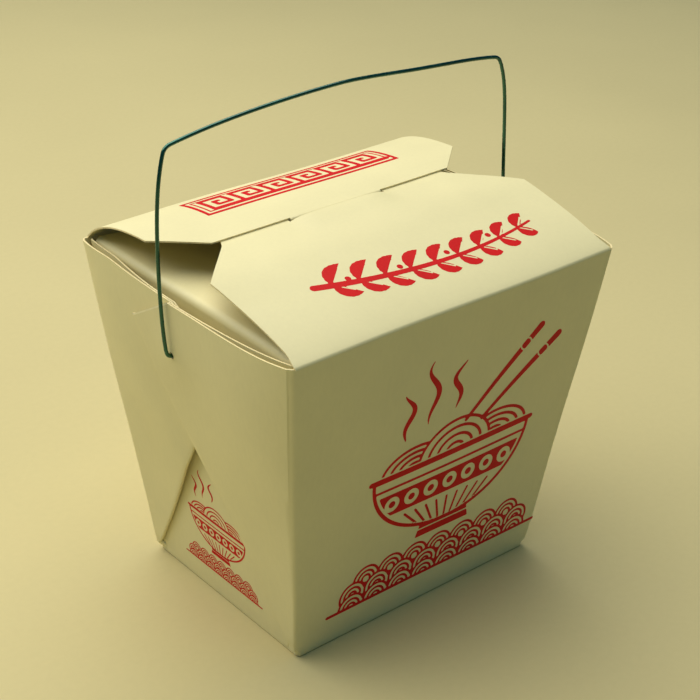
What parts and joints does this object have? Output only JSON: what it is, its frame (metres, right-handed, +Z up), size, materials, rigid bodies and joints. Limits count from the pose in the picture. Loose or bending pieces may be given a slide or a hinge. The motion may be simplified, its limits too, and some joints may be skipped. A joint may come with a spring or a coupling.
{
  "type": "takeout carton",
  "caption": "Tapered takeout carton folded from one sheet of card, its lid flaps closed by a tongue in a slit, with a swinging wire bail.",
  "frame": {"origin": "middle of the bottom, on the surface that the carton stands on", "axes": "+Z up; -Y out of the front wall, whose flap has the slit; +X to the right, out of a side wall with a bail hole"},
  "size_m": [0.1278, 0.0966, 0.1519],
  "materials": {
    "card": "coated paperboard, soft sheen",
    "lid_card": "coated paperboard, soft sheen",
    "wire": "drawn steel wire, dark reflections"
  },
  "bodies": {
    "carton": {"carton": "card"},
    "rear_lid_flap": {"rear_lid_flap": "lid_card"},
    "wire_bail": {"wire_bail": "wire"}
  },
  "joints": [
    {"name": "rear_lid_hinge", "type": "hinge", "parent": "carton", "child": "rear_lid_flap", "pos_m": [0, 0.0484, 0.1045], "axis": [-1, 0, 0], "range_deg": [0, 210]},
    {"name": "bail_swing", "type": "hinge", "parent": "carton", "child": "wire_bail", "pos_m": [0, 0, 0.0885], "axis": [1, 0, 0], "range_deg": [-133, 139]}
  ]
}
